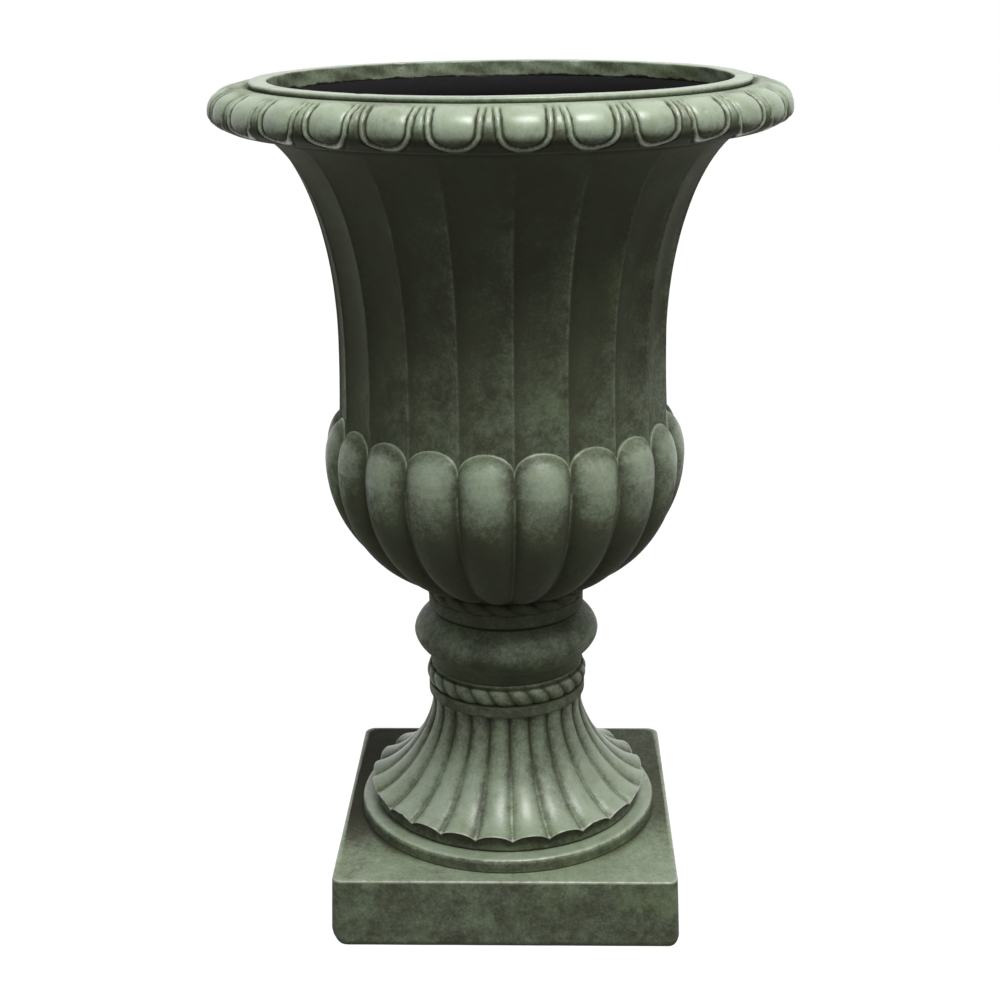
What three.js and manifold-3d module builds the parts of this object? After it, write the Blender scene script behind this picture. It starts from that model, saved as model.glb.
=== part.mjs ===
// A garden urn on a square plinth: four hollow castings of fibre-reinforced cast stone,
// stacked and drawn together by one threaded rod, with a drain and its bung in the bowl.
// Millimetres, +Z up. The origin is on the ground under the urn's axis and -Y is the front.
import * as THREE from "three";
import { mergeVertices } from "three/addons/utils/BufferGeometryUtils.js";
import Module from "manifold-3d";

const wasm = await Module();
wasm.setup();

// Driving dimensions
const seatGap = 0.3; // between castings, and between hardware and what it bears on
const ribPhase = 3.2; // degrees from the front towards +X: a valley between two foot ribs,
const lobePhase = 4.6; // a groove between two lobes of the bowl,
const eggPhase = 5.5; // and the middle of an egg on the rim

const plinthWidth = 325; // across the top
const plinthHeight = 68;
const plinthDraft = 2.5; // each side leans out by this much towards the ground
const plinthCorner = 12;
const plinthEdge = 3; // rounding of the top edge
const plinthWall = 11;
const stepMargin = 15; // of the round step on the plinth, beyond the foot's skirt
const stepHeight = 13.5;
const stepEdge = 3;

const neckWall = 16.5; // round the hollow down the middle, which drains the bowl
const spigotLength = 8; // the knop and the bowl drop this far into the casting below them
const spigotWall = 6;

const ribCount = 24;
const ribRadius = 138; // out to the crowns, where they end in scallops
const ribDepth = 7; // of the valleys there
const ribPower = 1.55; // 2 would be a quarter ellipse, 1 a straight cone
const scallopTurn = 0.7; // how far the valleys turn from inward to downward on the way there
const scallopOverhang = 5.5; // of the crowns past the plain skirt below them
const skirtHeight = 19.5;
const scallopLip = 3; // thickness of the scallops' overhang
const neckRibDepth = 2; // of the valleys where the ribs start
const footWall = 10;
const neckRadius = 74.5;
const flareRibHeight = 81; // the flare's height over the scallops,
const straightNeck = 11; // and the straight ribs above it, up to the plain ring
const footRingProud = 2.8; // of the neck
const footRingHeight = 12.5;
const footRopeProud = 4.5;
const footRopeHeight = 17;
const footLand = 3.5; // bare neck above the rope
const ringEdge = 2; // rounding of the plain rings

const knopProud = 15.8; // of the neck
const knopHalfHeight = 28.3;
const knopReach = 36.9; // from the middle of its section out to its crown
const knopPower = 1.75;
const knopLand = 4; // bare neck below the knop
const knopTrim = 2; // cut off the top of its section, under the ring
const knopRingProud = 1.1;
const knopRingHeight = 13;
const knopRopeProud = 3.5;
const knopRopeHeight = 12;
const recessDepth = 4.5; // undercut between the knop and its ring

const lobeCount = 20;
const collarInset = 2; // of the lobes' start from the knop's rope below it
const lobeRadius = 171;
const lobeDrop = 145.2; // half height of the oval that the lobes follow down
const lobePower = 2.08;
const grooveDepth = 12;
const archRise = 37.5; // from the widest line to the top of a lobe,
const archDepth = 15; // and from there down to the notch between two lobes
const waistRadius = 153.6; // on the arrises between flutes
const waistRise = 111.5; // above the widest line of the lobes
const waistSpread = 1.8; // how much wider the throat is where it meets the lobes
const fluteDepth = 4;
const fluteFade = 6; // the power that the flutes die out with towards the rim
const flareRise = 189.5; // from the waist up to the rim, along a quarter of an oval
const flareSpare = 6.5; // how much taller that oval is
const bowlWall = 18;
const throatWall = 9;
const floorThickness = 16;
const floorRadius = 62;

const eggCount = 30;
const rimRadius = 260;
const rimOverhang = 43.55; // beyond the top of the throat
const rimLower = 17; // from the rim's underside up to its widest line,
const rimUpper = 23; // and from there up to its ledge
const rimLowerPower = 2.3;
const rimUpperPower = 2.45;
const dartDepth = 4.5;
const ledgeInset = 30.5; // from the rim's edge in to the ledge
const lipInset = 7; // from the ledge's edge in to the raised lip
const lipWidth = 16.5;
const lipRise = 4;
const lipEdge = 1.5;

const rodRadius = 6; // M12
const rodSpare = 6; // bare thread past the outer nuts
const nutFlats = 18;
const nutHeight = 10;
const lockNutHeight = 6;
const threadGap = 0.3;
const plateRadius = 18.5; // washer and seal in the bowl
const plateThickness = 3;
const sealThickness = 4;
const washerRadius = 12;
const washerThickness = 2.5;
const barWidth = 30;
const barThickness = 6;
const barOverlap = 22; // of the bridge bar beyond the plinth's hole, at each end

const drainRadius = 8;
const drainSpacing = 5.5; // between the seal and the head of the bung, which is towards +X
const bungGap = 0.3;
const bungLength = 14;
const bungHeadRadius = 12;
const bungHeadHeight = 4;
const bungChamfer = 1;

// Radii and heights that follow
const skirtRadius = ribRadius - scallopOverhang;
const stepRadius = skirtRadius + stepMargin;
const stemBore = neckRadius - neckWall;
const knopBore = stemBore - spigotWall;
const footRingRadius = neckRadius + footRingProud;
const footRopeRadius = neckRadius + footRopeProud;
const knopRadius = neckRadius + knopProud;
const knopRingRadius = neckRadius + knopRingProud;
const knopRopeRadius = neckRadius + knopRopeProud;
const collarRadius = knopRopeRadius - collarInset;
const ledgeRadius = rimRadius - ledgeInset;
const lipRadius = ledgeRadius - lipInset;
const throatTopRadius = rimRadius - rimOverhang;
const drainOffset = plateRadius + drainSpacing + bungHeadRadius;
const notchRise = archRise - archDepth;
const flareOval = flareRise + flareSpare;
const flareShare = 1 - Math.sqrt(1 - (flareRise / flareOval) ** 2);
const flareReach = (throatTopRadius - waistRadius) / flareShare;
const stepTop = plinthHeight + stepHeight;
const footBase = stepTop + seatGap;
const scallopHeight = footBase + skirtHeight;
const flareTop = scallopHeight + flareRibHeight;
const footRingBase = flareTop + straightNeck;
const footRopeBase = footRingBase + footRingHeight;
const footTop = footRopeBase + footRopeHeight + footLand;
const knopBase = footTop + seatGap;
const knopMiddle = knopBase + knopLand + knopHalfHeight;
const knopRingBase = knopMiddle + knopHalfHeight - knopTrim;
const knopRopeBase = knopRingBase + knopRingHeight;
const knopTop = knopRopeBase + knopRopeHeight;
const bowlBase = knopTop + seatGap;
const lobeFraction = (1 - (collarRadius / lobeRadius) ** lobePower) ** (1 / lobePower);
const widestHeight = bowlBase + lobeDrop * lobeFraction;
const waistHeight = widestHeight + waistRise;
const rimBase = waistHeight + flareRise;
const rimMiddle = rimBase + rimLower;
const ledgeHeight = rimMiddle + rimUpper;
const lipTop = ledgeHeight + lipRise;
const floorTop = bowlBase + floorThickness;

const past = 1; // how far a solid runs into what it joins, or past what it cuts

// Steps that curves are drawn with
const turnSteps = 48;
const bowlColumns = 120; // a multiple of both lobeCount and eggCount
const rodSteps = 24;
const ribSteps = 4;
const flareRows = 6;
const knopRows = 8;
const edgeSteps = 2;
const cornerSteps = 4;
const lobeRows = 6;
const throatRows = 5;
const cavityRows = 5;
const ropeRows = 4;
const archDegrees = [30, 58, 90]; // rows of the lobes' domed tops
const eggDegrees = [-60, -32, -8, 14, 38, 62, 90]; // rows of the rim's moulding
const turnStart = 0.9; // share of the throat's rise where its columns leave the lobes' phase

const castStone = new THREE.MeshStandardMaterial({ color: 0x66755c, roughness: 0.85, metalness: 0 });
const zincSteel = new THREE.MeshStandardMaterial({ color: 0x9b9d9c, roughness: 0.45, metalness: 1 });
const rubber = new THREE.MeshStandardMaterial({ color: 0x1c1c1c, roughness: 0.9, metalness: 0 });

// A closed geometry as a solid that can be joined and cut
function solidOf(geometry) {
  geometry.deleteAttribute("normal");
  geometry.deleteAttribute("uv");
  const merged = mergeVertices(geometry, 1e-4);
  return new wasm.Manifold(
    new wasm.Mesh({
      numProp: 3,
      vertProperties: merged.attributes.position.array,
      triVerts: new Uint32Array(merged.index.array),
    }),
  );
}

function meshOf(name, solid, material) {
  const { vertProperties, triVerts } = solid.getMesh();
  const geometry = new THREE.BufferGeometry();
  geometry.setAttribute("position", new THREE.BufferAttribute(vertProperties, 3));
  geometry.setIndex(new THREE.BufferAttribute(triVerts, 1));
  geometry.computeVertexNormals();
  const mesh = new THREE.Mesh(geometry, material);
  mesh.name = name;
  return mesh;
}

// A profile of [radius, height] turned round the axis: it starts and ends on the axis
function turned(profile, steps = turnSteps) {
  const points = profile.map(([radius, height]) => new THREE.Vector2(radius, height));
  return solidOf(new THREE.LatheGeometry(points, steps).rotateX(Math.PI / 2));
}

function roundBar(radius, bottom, top, x = 0, steps = turnSteps) {
  const bar = new THREE.CylinderGeometry(radius, radius, top - bottom, steps);
  return solidOf(bar.rotateX(Math.PI / 2).translate(x, 0, (top + bottom) / 2));
}

// A point of [radius, height] on a superellipse: 0 degrees is straight out, 90 straight up
function ovalPoint(oval, degrees) {
  const angle = THREE.MathUtils.degToRad(degrees);
  const out = Math.max(Math.cos(angle), 0) ** (2 / oval.power);
  const up = Math.abs(Math.sin(angle)) ** (2 / oval.power) * Math.sign(angle);
  return [oval.radius + oval.reach * out, oval.height + oval.rise * up];
}

function ovalArc(oval, from, to, steps) {
  const points = [];
  for (let i = 0; i <= steps; i++) {
    points.push(ovalPoint(oval, THREE.MathUtils.lerp(from, to, i / steps)));
  }
  return points;
}

// The degrees at which an oval is as wide as a radius
function ovalDegrees(oval, radius) {
  const share = (radius - oval.radius) / oval.reach;
  return THREE.MathUtils.radToDeg(Math.acos(share ** (oval.power / 2)));
}

// A quarter-round edge that ends at a radius and a height
function roundedEdge(radius, height, size, from, to) {
  const middle = height - size * Math.sign(from + to);
  const oval = { radius: radius - size, height: middle, reach: size, rise: size, power: 2 };
  return ovalArc(oval, from, to, edgeSteps);
}

// Rings of equal length, from the lowest to the highest, each counter-clockwise from above,
// skinned into a closed solid with flat ends
function skinned(rings) {
  const count = rings[0].length;
  const middleOf = (ring) => new THREE.Vector3(0, 0, ring[0].z);
  const points = [...rings.flat(), middleOf(rings[0]), middleOf(rings.at(-1))];
  const foot = points.length - 2;
  const head = points.length - 1;
  const last = (rings.length - 1) * count;
  const faces = [];
  for (let j = 0; j < count; j++) {
    const next = (j + 1) % count;
    faces.push(foot, next, j, head, last + j, last + next);
    for (let start = 0; start < last; start += count) {
      const above = start + count;
      faces.push(start + j, start + next, above + next, start + j, above + next, above + j);
    }
  }
  return solidOf(new THREE.BufferGeometry().setFromPoints(points).setIndex(faces));
}

// A ring round the axis: pointAt gives [radius, height] at each share of a turn from the shift
function ringOf(columns, shift, pointAt) {
  const points = [];
  for (let column = 0; column < columns; column++) {
    const share = column / columns;
    const [radius, height] = pointAt(share);
    const angle = THREE.MathUtils.degToRad(shift + 360 * share);
    points.push(new THREE.Vector3(radius * Math.sin(angle), -radius * Math.cos(angle), height));
  }
  return points;
}

// How far a share of a turn lies from the middle of the nearest copy of a pattern that starts on
// a line between two copies: 0 on the middle, 1 on the line
function fromMiddle(share, copies) {
  const along = share * copies + 1e-9;
  return Math.abs(2 * (along - Math.floor(along)) - 1);
}

// A lobe, rib or egg falls off from its middle as a circle does: 0 on the middle, 1 on the line
function roundFall(offset) {
  const fullness = 0.92;
  const edge = Math.sqrt(1 - fullness ** 2);
  return (1 - Math.sqrt(1 - (fullness * offset) ** 2)) / (1 - edge);
}

function squareRing(halfWidth, corner, height) {
  const points = [];
  for (let quarter = 0; quarter < 4; quarter++) {
    for (let i = 0; i <= cornerSteps; i++) {
      const angle = (Math.PI / 2) * (quarter + i / cornerSteps);
      const side = (Math.PI / 2) * (quarter + 0.5);
      const middle = (halfWidth - corner) * Math.SQRT2;
      const x = middle * Math.cos(side) + corner * Math.cos(angle);
      const y = middle * Math.sin(side) + corner * Math.sin(angle);
      points.push(new THREE.Vector3(x, y, height));
    }
  }
  return points;
}

function makePlinth() {
  const half = plinthWidth / 2;
  const inner = half - plinthWall;
  const block = skinned([
    squareRing(half + plinthDraft, plinthCorner, 0),
    ...roundedEdge(half, plinthHeight, plinthEdge, 0, 90).map(([reach, height]) =>
      squareRing(reach, plinthCorner, height),
    ),
  ]);
  const stepBase = plinthHeight - plinthWall / 2;
  const step = turned([
    [0, stepBase],
    [stepRadius, stepBase],
    ...roundedEdge(stepRadius, stepTop, stepEdge, 0, 90),
    [0, stepTop],
  ]);
  const hollow = skinned([
    squareRing(inner + plinthDraft, plinthCorner, -past),
    squareRing(inner, plinthCorner, plinthHeight - plinthWall),
  ]);
  const hole = roundBar(stemBore, 0, stepTop + past);
  return meshOf("plinth", block.add(step).subtract(hollow).subtract(hole), castStone);
}

// The foot: ribs that flare from the neck and end in scallops over a plain skirt,
// then a plain ring and a half-round rope moulding
function makeFoot() {
  const columns = ribCount * ribSteps;
  const reach = ribRadius - neckRadius;
  const fallAt = (share) => roundFall(fromMiddle(share, ribCount));
  const flare = {
    radius: ribRadius,
    height: flareTop,
    reach: -reach,
    rise: flareTop - scallopHeight,
    power: ribPower,
  };
  const rings = [
    ringOf(columns, ribPhase, () => [skirtRadius, footBase]),
    ringOf(columns, ribPhase, (share) => [
      skirtRadius,
      scallopHeight - scallopLip - ribDepth * fallAt(share),
    ]),
  ];
  const flank = [...ovalArc(flare, -90, 0, flareRows), [neckRadius, footRingBase + past]];
  for (const [radius, height] of flank) {
    const spread = (radius - neckRadius) / reach; // 1 at the scallops, 0 at the neck
    const depth = THREE.MathUtils.lerp(neckRibDepth, ribDepth, spread);
    rings.push(
      ringOf(columns, ribPhase, (share) => [
        radius - depth * fallAt(share) * (1 - scallopTurn * spread),
        height - depth * fallAt(share) * spread,
      ]),
    );
  }
  const rope = {
    radius: neckRadius,
    height: footRopeBase + footRopeHeight / 2,
    reach: footRopeRadius - neckRadius,
    rise: footRopeHeight / 2,
    power: 2,
  };
  const neck = turned([
    [0, footRingBase],
    ...roundedEdge(footRingRadius, footRingBase, ringEdge, -90, 0),
    ...roundedEdge(footRingRadius, footRopeBase, ringEdge, 0, 90),
    ...ovalArc(rope, -90, 90, ropeRows),
    [neckRadius, footTop],
    [0, footTop],
  ]);
  const cavity = {
    radius: skirtRadius - footWall,
    height: flareTop,
    reach: stemBore - skirtRadius + footWall,
    rise: flareTop - scallopHeight + footWall,
    power: ribPower,
  };
  const hollow = turned([
    [0, footBase - past],
    [cavity.radius, footBase - past],
    ...ovalArc(cavity, -90, 0, cavityRows),
    [stemBore, footTop + past],
    [0, footTop + past],
  ]);
  return meshOf("foot", skinned(rings).add(neck).subtract(hollow), castStone);
}

// The knop: a fat round moulding between the neck and a plain ring, with a rope moulding on top
function makeKnop() {
  const swell = {
    radius: knopRadius - knopReach,
    height: knopMiddle,
    reach: knopReach,
    rise: knopHalfHeight,
    power: knopPower,
  };
  const rope = {
    radius: knopRingRadius - ringEdge,
    height: knopRopeBase + knopRopeHeight / 2,
    reach: knopRopeRadius - knopRingRadius + ringEdge,
    rise: knopRopeHeight / 2,
    power: 2,
  };
  const recessRadius = knopRingRadius - recessDepth;
  const body = turned([
    [0, knopBase - spigotLength],
    [stemBore - seatGap, knopBase - spigotLength],
    [stemBore - seatGap, knopBase],
    [neckRadius, knopBase],
    ...ovalArc(swell, -ovalDegrees(swell, neckRadius), ovalDegrees(swell, recessRadius), knopRows),
    [recessRadius, knopRingBase],
    ...roundedEdge(knopRingRadius, knopRingBase, ringEdge, -90, 0),
    [knopRingRadius, knopRopeBase - ringEdge],
    ...ovalArc(rope, -90, 90, ropeRows),
    [0, knopTop],
  ]);
  const bore = roundBar(knopBore, knopBase - spigotLength - past, knopTop + past);
  return meshOf("knop", body.subtract(bore), castStone);
}

// The throat follows the arrises between its flutes: nearly straight up to the waist, then a
// quarter of an oval out to the rim
function throatRadius(height) {
  const rise = height - waistHeight;
  if (rise < 0) return waistRadius + waistSpread * (rise / (waistRise - archRise)) ** 2;
  return waistRadius + flareReach * (1 - Math.sqrt(1 - (rise / flareOval) ** 2));
}

function bowlRings() {
  const lobeAt = (share) => fromMiddle(share, lobeCount);
  const eggAt = (share) => fromMiddle(share + 0.5 / eggCount, eggCount);
  const topOf = (lobe) => widestHeight + notchRise + archDepth * Math.sqrt(1 - lobe ** 2);
  const fluteAt = (lobe, height) => throatRadius(height) - fluteDepth * (1 - lobe ** 2);
  const rings = [ringOf(bowlColumns, lobePhase, () => [collarRadius, bowlBase])];

  // the lobes, from the collar out to the widest line
  const lobes = { radius: 0, height: widestHeight, reach: lobeRadius, rise: lobeDrop, power: lobePower };
  const collarDegrees = ovalDegrees(lobes, collarRadius);
  for (let i = lobeRows - 1; i >= 0; i--) {
    const degrees = (collarDegrees * i) / lobeRows;
    const angle = THREE.MathUtils.degToRad(degrees);
    const [radius, height] = ovalPoint(lobes, -degrees);
    const depth = grooveDepth * (radius / lobeRadius);
    rings.push(
      ringOf(bowlColumns, lobePhase, (share) => {
        const sink = depth * roundFall(lobeAt(share));
        return [radius - sink * Math.cos(angle), height + sink * Math.sin(angle)];
      }),
    );
  }

  // their domed tops, which run into the flutes
  for (const degrees of archDegrees) {
    const angle = THREE.MathUtils.degToRad(degrees);
    rings.push(
      ringOf(bowlColumns, lobePhase, (share) => {
        const lobe = lobeAt(share);
        const start = fluteAt(lobe, topOf(lobe));
        const crown = lobeRadius - grooveDepth * roundFall(lobe);
        const height = widestHeight + (topOf(lobe) - widestHeight) * Math.sin(angle);
        return [start + (crown - start) * Math.cos(angle), height];
      }),
    );
  }

  // the fluted throat: in its last rows the columns turn from the lobes' phase to the eggs'
  for (let i = 1; i <= throatRows; i++) {
    const rise = Math.sin((Math.PI / 2) * (i / throatRows));
    const shift = THREE.MathUtils.lerp(lobePhase, eggPhase, THREE.MathUtils.smoothstep(rise, turnStart, 1));
    rings.push(
      ringOf(bowlColumns, shift, (share) => {
        const lobe = lobeAt(share);
        const height = THREE.MathUtils.lerp(topOf(lobe), rimBase, rise);
        const fade = rise ** fluteFade;
        return [THREE.MathUtils.lerp(fluteAt(lobe, height), throatRadius(height), fade), height];
      }),
    );
  }

  // the rim's moulding, sunk between the eggs
  const lower = {
    radius: throatTopRadius,
    height: rimMiddle,
    reach: rimRadius - throatTopRadius,
    rise: rimLower,
    power: rimLowerPower,
  };
  const upper = {
    radius: ledgeRadius,
    height: rimMiddle,
    reach: rimRadius - ledgeRadius,
    rise: rimUpper,
    power: rimUpperPower,
  };
  for (const degrees of eggDegrees) {
    const angle = THREE.MathUtils.degToRad(degrees);
    const [radius, height] = ovalPoint(degrees < 0 ? lower : upper, degrees);
    rings.push(
      ringOf(bowlColumns, eggPhase, (share) => {
        const sink = dartDepth * Math.cos(angle) * roundFall(eggAt(share));
        return [radius - sink * Math.cos(angle), height - sink * Math.sin(angle)];
      }),
    );
  }

  // the raised lip
  const lip = [[lipRadius, ledgeHeight - lipEdge], ...roundedEdge(lipRadius, lipTop, lipEdge, 0, 90)];
  return [...rings, ...lip.map((point) => ringOf(bowlColumns, eggPhase, () => point))];
}

function makeBowl() {
  const reach = lobeRadius - bowlWall;
  const floorShare = (floorRadius / reach) ** lobePower;
  const drop = (widestHeight - floorTop) / (1 - floorShare) ** (1 / lobePower);
  const cavity = { radius: 0, height: widestHeight, reach, rise: drop, power: lobePower };
  const throat = [];
  for (let i = 0; i <= throatRows; i++) {
    const rise = Math.sin((Math.PI / 2) * (i / throatRows));
    const height = THREE.MathUtils.lerp(widestHeight + archRise, rimBase, rise);
    throat.push([throatRadius(height) - fluteDepth - throatWall, height]);
  }
  const lipInner = lipRadius - lipWidth;
  const hollow = turned([
    [0, floorTop],
    ...ovalArc(cavity, -ovalDegrees(cavity, floorRadius), 0, cavityRows),
    ...throat,
    [lipInner, rimMiddle],
    [lipInner, lipTop - lipEdge],
    [lipInner + lipEdge, lipTop],
    [lipInner + lipEdge, lipTop + past],
    [0, lipTop + past],
  ]);
  const spigotBase = bowlBase - spigotLength;
  const spigot = roundBar(knopBore - seatGap, spigotBase, bowlBase + past);
  const [low, high] = [spigotBase - past, floorTop + past];
  const rodHole = roundBar(rodRadius + threadGap, low, high, 0, rodSteps);
  const drain = roundBar(drainRadius, low, high, drainOffset, rodSteps);
  const shell = skinned(bowlRings()).add(spigot).subtract(hollow);
  return meshOf("bowl", shell.subtract(rodHole).subtract(drain), castStone);
}

function makeWasher(name, radius, thickness, base, material) {
  const ring = roundBar(radius, 0, thickness, 0, rodSteps);
  const hole = roundBar(rodRadius + threadGap, -past, thickness + past, 0, rodSteps);
  const washer = meshOf(name, ring.subtract(hole), material);
  washer.position.z = base;
  return washer;
}

function makeNut(name, height, base) {
  const outline = new THREE.Shape();
  for (let corner = 0; corner < 6; corner++) {
    const angle = (Math.PI / 3) * corner;
    const reach = nutFlats / 2 / Math.cos(Math.PI / 6);
    const [x, y] = [reach * Math.cos(angle), reach * Math.sin(angle)];
    if (corner) outline.lineTo(x, y);
    else outline.moveTo(x, y);
  }
  outline.holes.push(new THREE.Path().absarc(0, 0, rodRadius + threadGap, 0, 2 * Math.PI));
  const shape = { depth: height, bevelEnabled: false, curveSegments: rodSteps / 2 };
  const nut = meshOf(name, solidOf(new THREE.ExtrudeGeometry(outline, shape)), zincSteel);
  nut.position.z = base;
  return nut;
}

function makeBridgeBar(base) {
  const halfLength = stemBore + barOverlap;
  const halfWidth = barWidth / 2;
  const outline = new THREE.Shape();
  outline.moveTo(-halfLength, -halfWidth);
  outline.lineTo(halfLength, -halfWidth);
  outline.lineTo(halfLength, halfWidth);
  outline.lineTo(-halfLength, halfWidth);
  outline.holes.push(new THREE.Path().absarc(0, 0, rodRadius + threadGap, 0, 2 * Math.PI));
  const shape = { depth: barThickness, bevelEnabled: false, curveSegments: rodSteps / 2 };
  const bar = meshOf("bridge_bar", solidOf(new THREE.ExtrudeGeometry(outline, shape)), zincSteel);
  bar.position.z = base;
  return bar;
}

function makeBung() {
  const shank = drainRadius - bungGap;
  const body = turned(
    [
      [0, -bungLength],
      [shank - bungChamfer, -bungLength],
      [shank, bungChamfer - bungLength],
      [shank, seatGap],
      [bungHeadRadius, seatGap],
      [bungHeadRadius, bungHeadHeight - bungChamfer],
      [bungHeadRadius - bungChamfer, bungHeadHeight],
      [0, bungHeadHeight],
    ],
    rodSteps,
  );
  const bung = meshOf("drain_bung", body, rubber);
  bung.position.set(drainOffset, 0, floorTop);
  return bung;
}

// The hardware, from the bowl's floor up and from the plinth's top down
function makeHardware() {
  const sealBase = floorTop + seatGap;
  const plateBase = sealBase + sealThickness + seatGap;
  const nutBase = plateBase + plateThickness + seatGap;
  const rodTop = nutBase + nutHeight + rodSpare;
  const barBase = plinthHeight - plinthWall - seatGap - barThickness;
  const washerBase = barBase - seatGap - washerThickness;
  const lowerNutBase = washerBase - seatGap - nutHeight;
  const lockNutBase = lowerNutBase - seatGap - lockNutHeight;
  const rodBottom = lockNutBase - rodSpare;
  const hardware = new THREE.Group();
  hardware.add(
    meshOf("tie_rod", roundBar(rodRadius, rodBottom, rodTop, 0, rodSteps), zincSteel),
    makeWasher("bowl_seal", plateRadius, sealThickness, sealBase, rubber),
    makeWasher("bowl_washer", plateRadius, plateThickness, plateBase, zincSteel),
    makeNut("bowl_nut", nutHeight, nutBase),
    makeBridgeBar(barBase),
    makeWasher("bridge_washer", washerRadius, washerThickness, washerBase, zincSteel),
    makeNut("bridge_nut", nutHeight, lowerNutBase),
    makeNut("lock_nut", lockNutHeight, lockNutBase),
  );
  return hardware;
}

const urn = new THREE.Group();
urn.add(makePlinth(), makeFoot(), makeKnop(), makeBowl(), makeBung(), makeHardware());

export default urn;
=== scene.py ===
import math

import bpy
import numpy as np
from mathutils import Matrix, Vector


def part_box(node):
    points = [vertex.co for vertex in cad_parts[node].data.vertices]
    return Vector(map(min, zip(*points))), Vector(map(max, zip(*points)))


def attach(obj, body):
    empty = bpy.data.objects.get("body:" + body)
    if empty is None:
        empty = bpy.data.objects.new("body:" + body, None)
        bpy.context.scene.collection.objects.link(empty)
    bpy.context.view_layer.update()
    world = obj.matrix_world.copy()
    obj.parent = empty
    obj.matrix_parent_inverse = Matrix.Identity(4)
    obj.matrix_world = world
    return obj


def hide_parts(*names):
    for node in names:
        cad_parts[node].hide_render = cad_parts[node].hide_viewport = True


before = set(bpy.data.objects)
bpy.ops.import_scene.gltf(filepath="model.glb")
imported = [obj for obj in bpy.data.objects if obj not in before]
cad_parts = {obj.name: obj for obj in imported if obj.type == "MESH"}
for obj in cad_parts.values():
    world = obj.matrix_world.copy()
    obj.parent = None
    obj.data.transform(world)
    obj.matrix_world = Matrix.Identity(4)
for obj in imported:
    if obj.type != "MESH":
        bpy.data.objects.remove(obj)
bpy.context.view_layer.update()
mm = 0.001  # sizes below are in millimetres, and each mesh is made in metres
print("frame loaded:", sorted(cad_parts))


class Socket:  # wraps a node's output, so that maths on it can be written as maths
    def __init__(self, graph, link):
        self.graph = graph
        self.link = link

    def __getitem__(self, name):
        return Socket(self.graph, self.link.node.outputs[name])

    def __add__(self, other):
        return self.graph.maths("ADD", self, other)

    def __sub__(self, other):
        return self.graph.maths("SUBTRACT", self, other)

    def __rsub__(self, other):
        return self.graph.maths("SUBTRACT", other, self)

    def __mul__(self, other):
        return self.graph.maths("MULTIPLY", self, other)

    def __truediv__(self, other):
        return self.graph.maths("DIVIDE", self, other)

    __radd__ = __add__
    __rmul__ = __mul__


class Graph:  # a node tree that is built from the first node on
    def __init__(self, tree):
        self.tree = tree
        tree.nodes.clear()

    def node(self, kind, settings=None, inputs=None):
        made = self.tree.nodes.new(kind)
        for name, value in (settings or {}).items():
            setattr(made, name, value)
        for name, value in (inputs or {}).items():
            if isinstance(value, Socket):
                self.tree.links.new(value.link, made.inputs[name])
            else:
                made.inputs[name].default_value = value
        return Socket(self, made.outputs[0]) if len(made.outputs) else made

    def maths(self, operation, *values):
        return self.node("ShaderNodeMath", {"operation": operation}, dict(enumerate(values)))

    def clamped(self, value):
        return self.node("ShaderNodeClamp", {}, {"Value": value})

    def ramp(self, value, low, high):  # 0 below low, 1 above high, smooth between
        settings = {"interpolation_type": "SMOOTHSTEP"}
        return self.node("ShaderNodeMapRange", settings, {"Value": value, "From Min": low, "From Max": high})

    def blend(self, factor, first, second):
        settings = {"data_type": "RGBA"}
        first, second = ((*look, 1) if isinstance(look, tuple) else look for look in (first, second))
        return self.node("ShaderNodeMix", settings, {0: factor, 6: first, 7: second})[2]

    def noise(self, place, scale, detail=3.0, roughness=0.55, distortion=0.0):
        values = {"Vector": place, "Scale": scale, "Detail": detail, "Roughness": roughness,
                  "Distortion": distortion}
        return self.node("ShaderNodeTexNoise", {}, values)[0]

    def attribute(self, name):
        return self.node("ShaderNodeAttribute", {"attribute_name": name})["Fac"]

    def bump(self, height, strength, distance):
        values = {"Height": height, "Strength": strength, "Distance": distance}
        return self.node("ShaderNodeBump", {}, values)


def newMaterial(name):
    material = bpy.data.materials.new(name)
    material.use_nodes = True
    graph = Graph(material.node_tree)
    place = graph.node("ShaderNodeTexCoord")["Object"]
    return material, graph, place


def finishMaterial(graph, values):
    shader = graph.node("ShaderNodeBsdfPrincipled", {}, values)
    graph.node("ShaderNodeOutputMaterial", {}, {"Surface": shader})


stonePaint = {
    "wash": (0.019, 0.019, 0.012),  # dark wash that stays in the hollows, also used as painted shade
    "ground": (0.057, 0.060, 0.038),
    "green": (0.090, 0.116, 0.064),
    "moss": (0.115, 0.160, 0.058),
    "brushed": (0.285, 0.345, 0.250),  # pale paint brushed over the high points; its mask also lays it on as painted light
    "olive": (0.150, 0.175, 0.085),  # old stains on the pale paint
    "worn": (0.460, 0.450, 0.385),  # edges rubbed through
    "bare": (0.010, 0.009, 0.010),  # unpainted casting inside
    "brushedFrom": 0.26,
    "brushedTo": 1.18,
    "mottleScale": 26.0,
    "patchScale": 9.0,
    "fleckScale": 150.0,
    "speckScale": 420.0,
    "stainScale": 46.0,
    "dripScale": 34.0,
    "dripDepth": 0.012,
    "grainScale": 75.0,
    "poreScale": 260.0,
    "paintEdge": 774.0,  # how far down the lip's inner face the paint was carried
    "roughCrest": 0.46,
    "roughHollow": 0.74,
    "grainDepth": 0.5,
    "gloss": 0.14,
    "polish": 1.0,  # of a clear coat where the pale paint is rubbed smooth
    "polishRough": 0.36,
}


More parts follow.
